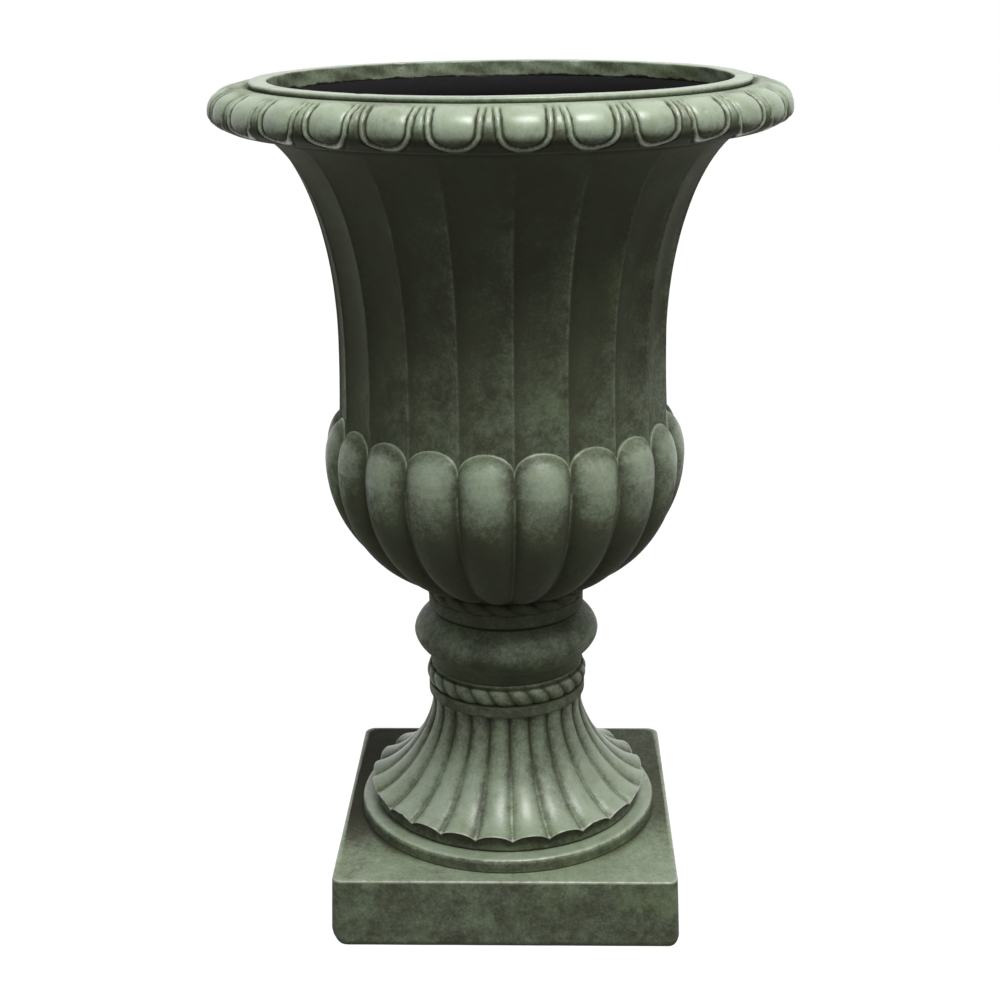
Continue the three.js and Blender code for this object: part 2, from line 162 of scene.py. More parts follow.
def makeStone():
    material, graph, place = newMaterial("castStone")
    paint = stonePaint
    # the mark read here holds both the height of the relief and painted light and shade
    crest = graph.attribute("crest")
    edge = graph.attribute("edge")
    inside = graph.attribute("inside")
    tone = graph.attribute("bayTone")
    facing = graph.node("ShaderNodeSeparateXYZ", {}, {0: graph.node("ShaderNodeNewGeometry")["Normal"]})["Z"]
    height = graph.node("ShaderNodeSeparateXYZ", {}, {0: place})["Z"]

    mottle = graph.noise(place, paint["mottleScale"], 5.0, 0.62, 0.4)
    patch = graph.noise(place, paint["patchScale"], 3.0, 0.5)
    fleck = graph.noise(place, paint["fleckScale"], 4.0, 0.65)
    speck = graph.noise(place, paint["speckScale"], 2.0, 0.6)

    greened = graph.ramp(mottle + 0.5 * (fleck - 0.5), 0.28, 0.76)
    greened = greened * (0.45 + 0.55 * graph.ramp(crest, 0.2, 0.5))
    colour = graph.blend(greened, paint["ground"], paint["green"])
    mossy = graph.ramp(patch + 0.5 * (mottle - 0.5) + 0.12 * facing, 0.52, 0.72)
    colour = graph.blend(mossy * 0.4 * graph.ramp(crest, 0.1, 0.5), colour, paint["moss"])

    brushed = crest + 0.5 * (mottle - 0.5) + 0.45 * (fleck - 0.5) + 0.45 * (speck - 0.5)
    # the facing term makes up-facing surfaces paler: dry-brushed paint and painted top light
    brushed = brushed + 0.22 * facing + 0.24 * (tone - 0.5)
    brushed = graph.ramp(brushed, paint["brushedFrom"], paint["brushedTo"])
    colour = graph.blend(brushed * 0.9, colour, paint["brushed"])
    stain = graph.noise(place, paint["stainScale"], 4.0, 0.62, 0.5)
    stained = graph.ramp(stain + 0.2 * (fleck - 0.5), 0.46, 0.70)
    colour = graph.blend(stained * brushed * 0.5, colour, paint["olive"])

    # dark wash in the hollows, which also paints their shade: strongest where the mark on the mesh is
    # lowest, and that mark is set low where shade falls
    washAndShadeMask = graph.ramp(0.46 - crest + 0.3 * (mottle - 0.5) + 0.3 * (fleck - 0.5), 0.10, 0.50)
    colour = graph.blend(washAndShadeMask * 0.9, colour, paint["wash"])

    rubbed = graph.ramp(edge + 0.8 * (fleck - 0.5) + 0.5 * (mottle - 0.5), 0.42, 0.85)
    colour = graph.blend(rubbed * 0.75, colour, paint["worn"])

    drip = paint["dripDepth"] * (graph.noise(place, paint["dripScale"], 4.0, 0.7) - 0.5)
    drip = paint["paintEdge"] * mm + drip
    unpainted = inside * graph.ramp(drip - height, 0.0, 0.002)
    colour = graph.blend(unpainted, colour, paint["bare"])

    polished = brushed * (1 - unpainted)
    rough = paint["roughHollow"] + (paint["roughCrest"] - paint["roughHollow"]) * polished
    rough = rough + 0.16 * (fleck - 0.5) + 0.12 * unpainted

    cast = graph.noise(place, paint["grainScale"], 3.0, 0.55)
    pores = graph.ramp(graph.noise(place, paint["poreScale"], 1.0, 0.5), 0.30, 0.40)
    relief = cast * 0.9 + fleck * 0.35 + speck * 0.12 + pores * 0.25
    normal = graph.bump(relief, 0.45, paint["grainDepth"] * mm)
    finishMaterial(graph, {
        "Base Color": colour,
        "Roughness": graph.clamped(rough),
        "Normal": normal,
        "Specular IOR Level": paint["gloss"],
        "Coat Weight": paint["polish"] * polished,
        "Coat Roughness": paint["polishRough"],
    })
    return material


def makeZinc():
    material, graph, place = newMaterial("zincSteel")
    drawn = graph.node("ShaderNodeMapping", {}, {"Vector": place, "Scale": (1.0, 14.0, 14.0)})
    grain = graph.noise(drawn, 160.0, 3.0, 0.6)
    cloud = graph.noise(place, 90.0, 3.0, 0.6)
    colour = graph.blend(graph.ramp(cloud, 0.35, 0.7), (0.50, 0.50, 0.47), (0.63, 0.635, 0.62))
    stain = graph.ramp(graph.noise(place, 45.0, 4.0, 0.7), 0.60, 0.72)
    colour = graph.blend(stain * 0.6, colour, (0.20, 0.145, 0.09))
    finishMaterial(graph, {
        "Base Color": colour,
        "Metallic": 1.0 - 0.55 * stain,
        "Roughness": 0.34 + 0.2 * grain + 0.2 * stain,
        "Normal": graph.bump(grain, 0.25, 0.2 * mm),
    })
    return material


def makeRubber():
    material, graph, place = newMaterial("rubber")
    cloud = graph.noise(place, 120.0, 4.0, 0.6)
    dust = graph.ramp(graph.noise(place, 60.0, 5.0, 0.7), 0.48, 0.75)
    colour = graph.blend(cloud, (0.010, 0.010, 0.010), (0.020, 0.020, 0.019))
    colour = graph.blend(dust * 0.5, colour, (0.075, 0.072, 0.062))
    finishMaterial(graph, {
        "Base Color": colour,
        "Roughness": 0.72 + 0.2 * dust,
        "Normal": graph.bump(graph.noise(place, 500.0, 2.0, 0.5), 0.3, 0.15 * mm),
    })
    return material


stone = makeStone()
finishes = {"zinc_steel": makeZinc(), "rubber": makeRubber()}
print("materials made")


def level(node, end):  # a CAD node's lowest (0) or highest (1) point
    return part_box(node)[end].z / mm


def wayAlong(points):
    return np.concatenate([[0.0], np.cumsum(np.hypot(*np.diff(points, axis=0).T))])


def evenly(points, count):  # the same line in equal steps
    points = np.asarray(points, float)
    along = wayAlong(points)
    wanted = np.linspace(0.0, along[-1], count)
    return np.stack([np.interp(wanted, along, points[:, axis]) for axis in (0, 1)], axis=1)


def oval(radius, height, reach, rise, power, start, end, count):  # 0 degrees is out, 90 is up
    turn = np.radians(np.linspace(start, end, 600))
    out = np.maximum(np.cos(turn), 0.0) ** (2 / power)
    up = np.abs(np.sin(turn)) ** (2 / power) * np.sign(turn)
    return evenly(np.stack([radius + reach * out, height + rise * up], axis=1), count)


def ovalDegrees(radius, reach, power, wanted):
    return math.degrees(math.acos(((wanted - radius) / reach) ** (power / 2)))


def roundedCorner(radius, height, size, start, end, count=5):  # a quarter-round that stays inside the corner
    side = size if start + end > 0 else -size
    return oval(radius - size, height - side, size, size, 2.0, start, end, count)


def joined(*parts):
    return np.concatenate([np.asarray(part, float).reshape(-1, 2) for part in parts])


def outward(profile):  # unit normals of a closed profile that climbs its outer side
    step = np.roll(profile, -1, axis=0) - np.roll(profile, 1, axis=0)
    normal = np.stack([step[:, 1], -step[:, 0]], axis=1)
    return normal / np.maximum(np.hypot(*normal.T), 1e-9)[:, None]


def eased(value, low, high):
    share = np.clip((value - low) / (high - low), 0.0, 1.0)
    return share * share * (3 - 2 * share)


def ridge(distance, width):
    return np.exp(-((distance / width) ** 2))


def roundFall(offset, fullness=0.93):  # 0 on the middle of a lobe, 1 on the line beside it
    edge = math.sqrt(1 - fullness**2)
    return (1 - np.sqrt(1 - (fullness * np.clip(offset, 0, 1)) ** 2)) / (1 - edge)


def acrossBay(columns, crowding=0.5):  # -1 to 1, with columns crowded towards both lines
    even = np.linspace(-1.0, 1.0, columns + 1)
    return (1 - crowding) * even + crowding * np.sin(even * math.pi / 2)


def gridMesh(name, places, closeRows=True, closeColumns=False, **marks):
    rows, columns = places.shape[:2]
    index = np.arange(rows * columns).reshape(rows, columns)
    caps = [] if closeRows else [index[0, ::-1].tolist(), index[-1].tolist()]
    if closeRows:
        index = np.vstack([index, index[:1]])
    if closeColumns:
        index = np.hstack([index, index[:, :1]])
    corners = [index[:-1, :-1], index[:-1, 1:], index[1:, 1:], index[1:, :-1]]
    quads = np.stack(corners, axis=-1).reshape(-1, 4)
    mesh = bpy.data.meshes.new(name)
    mesh.from_pydata((places.reshape(-1, 3) * mm).tolist(), [], quads.tolist() + caps)
    for mark, values in marks.items():
        values = np.broadcast_to(values, (rows, columns)).astype(np.float32)
        mesh.attributes.new(mark, "FLOAT", "POINT").data.foreach_set("value", values.ravel())
    return mesh


def turnedPlaces(radius, height, degrees):  # 0 degrees is the front, towards +X is positive
    radius, height, degrees = np.broadcast_arrays(radius, height, degrees)
    angle = np.radians(degrees)
    return np.stack([radius * np.sin(angle), -radius * np.cos(angle), height], axis=-1)


def turnedProfile(profile, degrees, relief=0.0):  # the relief stands off along the profile's normals
    normal = outward(profile)
    radius, height = (profile[:, axis:axis + 1] + normal[:, axis:axis + 1] * relief for axis in (0, 1))
    return turnedPlaces(radius, height, degrees)


class Rows:  # of a piece's grid, with the marks that its paint follows
    def __init__(self):
        self.places = []
        self.marks = {"crest": [], "edge": [], "inside": []}

    def add(self, places, crest, edge=0.0, inside=0.0):
        self.places.append(places)
        for values, value in zip(self.marks.values(), (crest, edge, inside)):
            values.append(np.broadcast_to(value, len(places)))


def newObject(name, data):
    made = bpy.data.objects.new(name, data)
    bpy.context.scene.collection.objects.link(made)
    return made


def makeCastingTree():
    tree = bpy.data.node_groups.new("castRoundTheAxis", "GeometryNodeTree")
    kinds = {"Bay": "Geometry", "Count": "Int", "First Angle": "Float", "Seam Gap": "Float",
             "Swell Depth": "Float", "Swell Scale": "Float", "Tone Spread": "Float", "Seed": "Int",
             "Material": "Material"}
    for name, kind in kinds.items():
        tree.interface.new_socket(name, in_out="INPUT", socket_type="NodeSocket" + kind)
    tree.interface.new_socket("Casting", in_out="OUTPUT", socket_type="NodeSocketGeometry")
    graph = Graph(tree)
    given = graph.node("NodeGroupInput")
    angle = graph.node("GeometryNodeInputIndex") * (2 * math.pi) / given["Count"] + given["First Angle"]
    turn = graph.node("ShaderNodeCombineXYZ", {}, {"Z": angle})
    points = graph.node("GeometryNodePoints", {}, {"Count": given["Count"]})
    inputs = {"Points": points, "Instance": given["Bay"], "Rotation": turn}
    copies = graph.node("GeometryNodeInstanceOnPoints", {}, inputs)
    tone = graph.node("FunctionNodeRandomValue", {"data_type": "FLOAT"}, {"Seed": given["Seed"]})[1]
    tone = (tone - 0.5) * given["Tone Spread"] + 0.5
    copies = graph.node(
        "GeometryNodeStoreNamedAttribute",
        {"data_type": "FLOAT", "domain": "INSTANCE"},
        {"Geometry": copies, "Name": "bayTone", "Value": tone},
    )
    whole = graph.node("GeometryNodeRealizeInstances", {}, {"Geometry": copies})
    whole = graph.node("GeometryNodeMergeByDistance", {}, {"Geometry": whole, "Distance": given["Seam Gap"]})
    swell = graph.noise(graph.node("GeometryNodeInputPosition"), given["Swell Scale"], 2.0, 0.5)
    depth = (swell - 0.5) * 2.0 * given["Swell Depth"] - given["Swell Depth"]
    inputs = {0: graph.node("GeometryNodeInputNormal"), "Scale": depth}
    offset = graph.node("ShaderNodeVectorMath", {"operation": "SCALE"}, inputs)
    whole = graph.node("GeometryNodeSetPosition", {}, {"Geometry": whole, "Offset": offset})
    whole = graph.node("GeometryNodeSetShadeSmooth", {}, {"Geometry": whole})
    whole = graph.node("GeometryNodeSetMaterial", {}, {"Geometry": whole, "Material": given["Material"]})
    graph.node("NodeGroupOutput", {}, {"Casting": whole})
    return tree


castingTree = makeCastingTree()


def cast(name, mesh, swellDepth, swellScale, seed, count=1, firstAngle=0.0, toneSpread=0.0):
    piece = newObject(name, mesh)
    modifier = piece.modifiers.new("cast", "NODES")
    modifier.node_group = castingTree
    values = {
        "Count": count,
        "First Angle": math.radians(firstAngle),
        "Seam Gap": 0.02 * mm,
        "Swell Depth": swellDepth * mm,
        "Swell Scale": swellScale,
        "Tone Spread": toneSpread,
        "Seed": seed,
        "Material": stone,
    }
    for item in castingTree.interface.items_tree:
        if item.in_out == "INPUT" and item.name in values:
            modifier[item.identifier] = values[item.name]
    flatten(piece)
    return piece


def flatten(piece):  # the modifiers' result as the piece's own mesh
    graph = bpy.context.evaluated_depsgraph_get()
    shaped = piece.evaluated_get(graph)
    result = bpy.data.meshes.new_from_object(shaped, preserve_all_data_layers=True, depsgraph=graph)
    piece.modifiers.clear()
    piece.data = result
    result.name = piece.name


def dent(piece, spots):  # small knocks: degrees from the front, radius, height, width, depth
    mesh = piece.data
    place, normal = np.empty((2, len(mesh.vertices), 3), np.float32)
    mesh.vertices.foreach_get("co", place.ravel())
    mesh.vertices.foreach_get("normal", normal.ravel())
    for degrees, radius, height, width, depth in spots:
        middle = turnedPlaces(radius, height, degrees) * mm
        far = np.linalg.norm(place - middle, axis=1) / (width * mm)
        fall = np.where(far < 1, (1 - far**2) ** 2, 0.0)
        place -= normal * (fall * depth * mm)[:, None]
    mesh.vertices.foreach_set("co", place.ravel())
    mesh.update()


def ready(piece, body, node):
    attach(piece, body)
    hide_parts(node)
    print(f"{piece.name}: {len(piece.data.polygons)} faces")


def castPiece(name, node, places, crest, edge=0.0, inside=0.0, knocks=(), **casting):
    mesh = gridMesh(name, np.array(places), crest=crest, edge=edge, inside=inside)
    piece = cast(name, mesh, **casting)
    if knocks:
        dent(piece, knocks)
    ready(piece, "urn", node)


bowl = {
    "lobes": 20,
    "firstGroove": 4.6,  # degrees from the front towards +X
    "columns": 28,  # to a lobe
    "spigotLength": 8.0,
    "spigotRadius": 51.7,
    "rodHole": 6.3,
    "collarRadius": 76.0,
    "lobeRadius": 171.0,
    "lobeDrop": 145.2,
    "lobePower": 2.08,
    "grooveDepth": 12.0,
    "filletHeight": 1.5,  # of the line between two lobes
    "filletWidth": 0.9,
    "archRise": 37.5,
    "archDepth": 15.0,
    "beadHeight": 1.3,  # along the arches
    "beadInset": 1.6,
    "waistRadius": 153.6,
    "waistRise": 111.5,
    "waistSpread": 1.8,
    "arrisRadius": 155,  # of the throat, where the arrises are measured
    "arrisHeight": 0.8,
    "arrisWidth": 0.9,
    "fluteDepth": 4.0,
    "flareRise": 189.5,
    "flareSpare": 6.5,
    "throatTopRadius": 216.45,
    "wall": 18.0,
    "throatWall": 9.0,
    "floorThickness": 16.0,
    "floorRadius": 62.0,
    "drainRadius": 8.0,
    "drainOffset": 36.0,
}
bowlBase = level("bowl", 0) + bowl["spigotLength"]
collarShare = (bowl["collarRadius"] / bowl["lobeRadius"]) ** bowl["lobePower"]
lobeFraction = (1 - collarShare) ** (1 / bowl["lobePower"])
widestHeight = bowlBase + bowl["lobeDrop"] * lobeFraction
waistHeight = widestHeight + bowl["waistRise"]
throatTop = waistHeight + bowl["flareRise"]
throatInner = bowl["throatTopRadius"] - bowl["fluteDepth"] - bowl["throatWall"]


def throatRadius(height):  # along the arrises between the flutes
    b = bowl
    rise = np.asarray(height) - waistHeight
    tall = b["flareRise"] + b["flareSpare"]
    reach = (b["throatTopRadius"] - b["waistRadius"]) / (1 - math.sqrt(1 - (b["flareRise"] / tall) ** 2))
    below = b["waistRadius"] + b["waistSpread"] * (rise / (b["waistRise"] - b["archRise"])) ** 2
    share = np.clip(rise / tall, 0.0, 1.0)
    return np.where(rise < 0, below, b["waistRadius"] + reach * (1 - np.sqrt(1 - share**2)))


def makeBowlBody():
    b = bowl
    across = acrossBay(b["columns"])
    offset = np.abs(across)
    fall = roundFall(offset)
    archTop = widestHeight + b["archRise"] - b["archDepth"] * (1 - np.sqrt(1 - offset**2))
    turn = across * 180 / b["lobes"]
    rows = Rows()

    def fromLine(radius):  # round the bowl from the next groove or arris
        return (1 - offset) * (math.pi * radius / b["lobes"])

    def addRow(radius, height, crest, inside=0.0):
        rows.add(turnedPlaces(radius, height, turn), crest, 0.0, inside)

    def fluteRadius(height, fade=0.0):
        arris = b["arrisHeight"] * ridge(fromLine(b["arrisRadius"]), b["arrisWidth"])
        flute = b["fluteDepth"] * (1 - offset**2)
        return throatRadius(height) - flute * (1 - fade) + arris * (1 - fade) - b["arrisHeight"]

    bottom = bowlBase - b["spigotLength"]
    for radius, height in ((b["rodHole"], bottom), (b["spigotRadius"], bottom),
                           (b["spigotRadius"], bowlBase), (b["collarRadius"] - 1.5, bowlBase)):
        addRow(radius, height, 0.1)

    start = ovalDegrees(0.0, b["lobeRadius"], b["lobePower"], b["collarRadius"])
    line = oval(0.0, widestHeight, b["lobeRadius"], b["lobeDrop"], b["lobePower"], -start, 0.0, 46)
    slope = np.gradient(line, axis=0)
    slope /= np.hypot(*slope.T)[:, None]
    for (radius, height), (along, up) in zip(line, slope):
        fillet = b["filletHeight"] * ridge(fromLine(radius), b["filletWidth"])
        sink = b["grooveDepth"] * (radius / b["lobeRadius"]) * fall - fillet
        # the lobes are painted paler towards their tops and darker towards the collar: partly dry-brushed
        # paint, partly painted light from above
        crown = eased(height, widestHeight - 58, widestHeight + 18)
        low = eased(height, widestHeight - 140, widestHeight - 60)
        crest = 0.06 + 0.11 * low + (0.08 + 0.50 * crown) * (1 - fall) + (0.16 + 0.12 * crown) * fillet
        addRow(radius - sink * up, height + sink * along, crest)

    start = fluteRadius(archTop)
    fillet = b["filletHeight"] * ridge(fromLine(b["lobeRadius"]), b["filletWidth"])
    crown = b["lobeRadius"] - b["grooveDepth"] * fall + fillet
    for degrees in np.concatenate([np.linspace(5, 70, 13), np.linspace(73, 90, 12)]):
        angle = math.radians(degrees)
        toEdge = (crown - start) * math.cos(angle)
        bead = b["beadHeight"] * ridge(toEdge - b["beadInset"], 1.0) * (1 - 0.6 * offset**8)
        # each dome is painted darker just below its bead, as painted shade of the rim, and paler lower down,
        # as painted light on the crown
        addRow(
            start + toEdge,
            widestHeight + (archTop - widestHeight) * math.sin(angle) + bead,
            0.26 + (0.11 + 0.44 * eased(90 - degrees, 26, 50)) * (1 - fall)
            + 0.5 * ridge(toEdge - b["beadInset"], 1.1),
        )

    for share in np.concatenate([[0.005], np.linspace(0, 1, 48)[1:]]):
        height = archTop + (throatTop - archTop) * share
        arris = ridge(fromLine(b["arrisRadius"]), 1.0)
        fade = share**6
        # the throat is painted lighter towards its bottom, as painted light below the rim's shadow
        low = 0.10 * (1 - eased(share, 0.0, 0.45))
        lit = 0.26 + low + (0.16 * arris + 0.10 * across * offset) * (1 - fade)  # lighter left of each arris: painted side light
        addRow(fluteRadius(height, fade), height, lit)
    addRow(b["throatTopRadius"] - 4, throatTop + 7, 0.1)

    addRow(throatInner + 4, throatTop + 7, 0.2, 1.0)
    for share in np.linspace(1, 0, 16):
        height = widestHeight + b["archRise"] + (throatTop - widestHeight - b["archRise"]) * share
        addRow(throatRadius(height) - b["fluteDepth"] - b["throatWall"], height, 0.3, 1.0)
    reach = b["lobeRadius"] - b["wall"]
    floorTop = bowlBase + b["floorThickness"]
    floorShare = (b["floorRadius"] / reach) ** b["lobePower"]
    drop = (widestHeight - floorTop) / (1 - floorShare) ** (1 / b["lobePower"])
    end = ovalDegrees(0.0, reach, b["lobePower"], b["floorRadius"])
    for radius, height in oval(0.0, widestHeight, reach, drop, b["lobePower"], 0.0, -end, 16):
        addRow(radius, height, 0.3, 1.0)
    for radius in (50.0, 36.0, 22.0, 12.0, b["rodHole"]):
        addRow(radius, floorTop, 0.3, 1.0)
    mesh = gridMesh("bowlBody", np.array(rows.places), **rows.marks)
    piece = cast("bowlBody", mesh, count=b["lobes"], firstAngle=b["firstGroove"] + 180 / b["lobes"],
                 swellDepth=0.22, swellScale=30.0, seed=3, toneSpread=1.0)
    cutter = makeCutter(b["drainRadius"], b["drainOffset"], bowlBase - 20, floorTop + 10)
    cut = piece.modifiers.new("drain", "BOOLEAN")
    cut.operation = "DIFFERENCE"
    cut.object = cutter
    flatten(piece)
    bpy.data.objects.remove(cutter)
    ready(piece, "urn", "bowl")


def makeCutter(radius, offset, bottom, top):
    places = turnedPlaces(radius, np.array([[bottom], [top]]), np.arange(90, 450, 7.5))  # from +X on
    places[..., 0] += offset
    mesh = gridMesh("drainCutter", places, closeRows=False, closeColumns=True)
    return newObject("drainCutter", mesh)


makeBowlBody()


rim = {
    "eggs": 30,
    "firstEgg": 5.5,
    "columns": 52,  # to an egg
    "radius": 260.0,
    "lower": 17.0,
    "upper": 23.0,
    "lowerPower": 2.3,
    "upperPower": 2.45,
    "ledgeRadius": 229.5,
    "inset": 0.6,  # of the crowns from the CAD's outline
    "base": -3.3,  # depth of the grooves round the eggs
    "eggHalfWidth": 16.1,
    "ringRadius": 19.7,
    "ringHalfWidth": 2.5,
    "ringMiddle": 4.6,  # of the U's round end, above the widest line
    "ringSlide": 0.7,  # how far the U's end is drawn as seen level, not along the surface
    "ringFlare": 0.0032,  # of the U's sides, to a millimetre of height
    "dartFrom": 22.6,
    "dartLevel": -1.3,
    "carvedFrom": (-25.5, -18.0),  # way round the section from the widest line, where carving begins
    "carvedTo": (26.0, 37.0),
    "knocks": ((-55, 255, 772, 3.0, 0.9), (24.5, 257, 772, 2.2, 0.8), (40, 256, 773, 2.6, 0.9),
               (42, 256, 755, 3.0, 1.0), (-20, 259, 762, 1.8, 0.5), (8, 248, 780, 2.0, 0.5)),
}
rimMiddle = throatTop + rim["lower"]


def makeBowlRim():
    r = rim
    lower = oval(bowl["throatTopRadius"], rimMiddle, r["radius"] - bowl["throatTopRadius"], r["lower"],
                 r["lowerPower"], -90, 0, 24)
    upper = oval(r["ledgeRadius"], rimMiddle, r["radius"] - r["ledgeRadius"], r["upper"],
                 r["upperPower"], 0, 90, 30)
    ledge = upper[-1, 1]
    hidden = [(225.0, ledge - 0.8), (223.0, ledge - 2.4), (210.0, ledge - 2.6), (206.3, ledge - 2.6),
              (206.2, rimMiddle), (throatInner - 0.2, throatTop - 0.6)]
    profile = joined(lower, upper[1:], hidden)
    shown = len(lower) + len(upper) - 1
    along = wayAlong(profile[:shown])
    along -= along[len(lower) - 1]  # 0 on the widest line

    halfPitch = math.pi * r["radius"] / r["eggs"]
    across = np.linspace(-1.0, 1.0, r["columns"] + 1)
    side = np.abs(across)[None, :] * halfPitch
    up = along[:, None]
    seen = r["ringSlide"] * (profile[:shown, 1:] - rimMiddle) + (1 - r["ringSlide"]) * up
    below = np.maximum(r["ringMiddle"] - seen, 0.0)
    above = np.maximum(up - r["ringMiddle"], 0.0)
    far = np.hypot(side, below) * (1 - r["ringFlare"] * above)
    base = r["base"]
    inEgg = np.clip(1 - (far / r["eggHalfWidth"]) ** 2, 0, 1)
    egg = np.where(far < r["eggHalfWidth"], base * (1 - np.sqrt(inEgg)), base)
    inRing = np.clip(1 - ((far - r["ringRadius"]) / r["ringHalfWidth"]) ** 2, 0, 1)
    ring = base + 2.5 * np.sqrt(inRing)
    between = eased(far, r["dartFrom"], r["dartFrom"] + 1.4)
    dart = base + (r["dartLevel"] - base) * between
    carved = np.maximum(np.maximum(egg, ring), dart)
    plain = eased(up, *r["carvedTo"])
    fade = eased(up, *r["carvedFrom"]) * (1 - plain)
    # eggs and darts are painted darker towards their lower ends, as painted shade where they face down
    onEgg = eased(np.sqrt(inEgg), 0.0, 0.4) * (0.20 + 0.80 * eased(up, -15.0, 7.0))
    onRing = eased(inRing, 0.0, 0.6) * (1.15 - 0.35 * eased(up, -14.0, 2.0))
    onDart = between * eased(up, -8.0, 16.0) * 0.75
    crest = 0.06 + 0.84 * np.maximum(np.maximum(onEgg, onRing), onDart)
    crest = crest * fade + 0.14 * (1 - eased(up, -25.0, -20.0)) + 0.50 * plain
    below = ((0, len(hidden)), (0, 0))  # the rows that the lip and the throat hide
    relief = np.pad(carved * fade - r["inset"], below)
    edge = np.pad(0.58 * inRing**2 * fade, below)
    crest = np.pad(crest, below, constant_values=0.25)
    inside = np.zeros_like(crest)
    inside[-4:] = 1.0
    places = turnedProfile(profile, across * 180 / r["eggs"], relief)
    castPiece("bowlRim", "bowl", places, crest, edge, inside, r["knocks"], count=r["eggs"],
              firstAngle=r["firstEgg"], swellDepth=0.15, swellScale=30.0, seed=5, toneSpread=1.0)


makeBowlRim()


lip = {
    "columns": 360,
    "radius": 222.5,
    "width": 16.5,
    "outerEdge": 2.2,
    "innerEdge": 1.6,
    "innerDepth": 15.0,
    "knocks": ((-31, 207, 785, 5.0, 1.2), (12, 221, 786, 4.0, 0.9), (160, 207, 786, 6.0, 1.5),
               (174, 208, 786, 5.0, 1.2), (-150, 207, 785, 7.0, 1.4), (140, 221, 786, 4.0, 1.0)),
}


def makeBowlLip():
    p = lip
    top = level("bowl", 1)
    inner = p["radius"] - p["width"]
    foot = rimMiddle + rim["upper"]
    profile = joined(
        [(p["radius"] - 1.4, foot - 4.5), (p["radius"] - 0.5, foot - 1.2)],
        roundedCorner(p["radius"], top, p["outerEdge"], 0, 90, 7),
        evenly([(p["radius"] - 3.5, top), (inner + 3.0, top)], 8),
        roundedCorner(-inner, top, p["innerEdge"], 0, 90, 6)[::-1] * (-1, 1),
        evenly([(inner, top - 2.5), (inner, top - p["innerDepth"])], 12),
        [(inner + 1.2, top - p["innerDepth"] - 1.0), (inner + 2.5, foot - 4.5)],
    )
    turn = np.linspace(-180, 180, p["columns"] + 1)
    row = np.arange(len(profile))[:, None]
    wave = 0.25 * np.sin(np.radians(turn * 3 + 40)) + 0.2 * np.sin(np.radians(turn * 7))
    nearTop = eased(profile[:, 1], foot, top)[:, None]
    height = profile[:, 1:] - nearTop * (0.45 - wave) * 0.5
    slant = profile[:, 1:] * 12
    patchy = 0.11 * np.sin(np.radians(turn * 11 + slant)) + 0.11 * np.sin(np.radians(turn * 26 - slant * 2))
    crest = np.where(row > 18, 0.57 + patchy, 0.80)  # inner face, outer face
    crest[:2] = 0.1
    inside = eased(row, 19, 21)
    edge = 0.35 * (ridge(profile[:, 1] - top, 1.0) * ridge(profile[:, 0] - p["radius"], 2.5))[:, None]
    places = turnedPlaces(profile[:, :1], height, turn)
    castPiece("bowlLip", "bowl", places, crest, edge, inside, p["knocks"],
              swellDepth=0.2, swellScale=55.0, seed=7)


makeBowlLip()


knop = {
    "twists": 20,
    "firstNotch": 7.6,
    "twistColumns": 16,
    "bore": 52.0,
    "spigotRadius": 57.7,
    "spigotLength": 8.0,
    "neckRadius": 74.5,
    "land": 4.0,
    "halfHeight": 28.3,
    "reach": 36.9,
    "radius": 90.3,
    "power": 1.75,
    "trim": 2.0,
    "ringRadius": 75.6,
    "ringHeight": 13.0,
    "ringEdge": 2.0,
    "recess": 4.5,
    "ropeRadius": 78.0,
    "ropeHeight": 12.0,
    "notchDepth": 2.4,
    "lean": 0.55,  # of a twist's width, from the rope's bottom to its top
}


def twistedRope(before, rope, after, facts, flatEnd=False):  # notches slant round the rope
    profile = joined(before, rope, after)
    isRope = np.zeros((len(profile), 1), bool)
    isRope[len(before):len(before) + len(rope)] = True
    across = np.linspace(-1.0, 1.0, facts["twistColumns"] + 1)
    height = profile[:, 1:]
    share = across / 2 + facts["lean"] * (height - height[isRope].mean()) / facts["ropeHeight"]
    offset = np.abs(2 * (share - np.floor(share)) - 1)  # 1 on the notch at the bay's middle
    notch = roundFall(offset, 0.993)
    relief = np.where(isRope, -facts["notchDepth"] * notch, 0.0)
    if flatEnd:
        relief[len(before) + len(rope) - 1] = 0
    places = turnedProfile(profile, across * 180 / facts["twists"], relief)
    return profile, isRope, 1 - notch, places


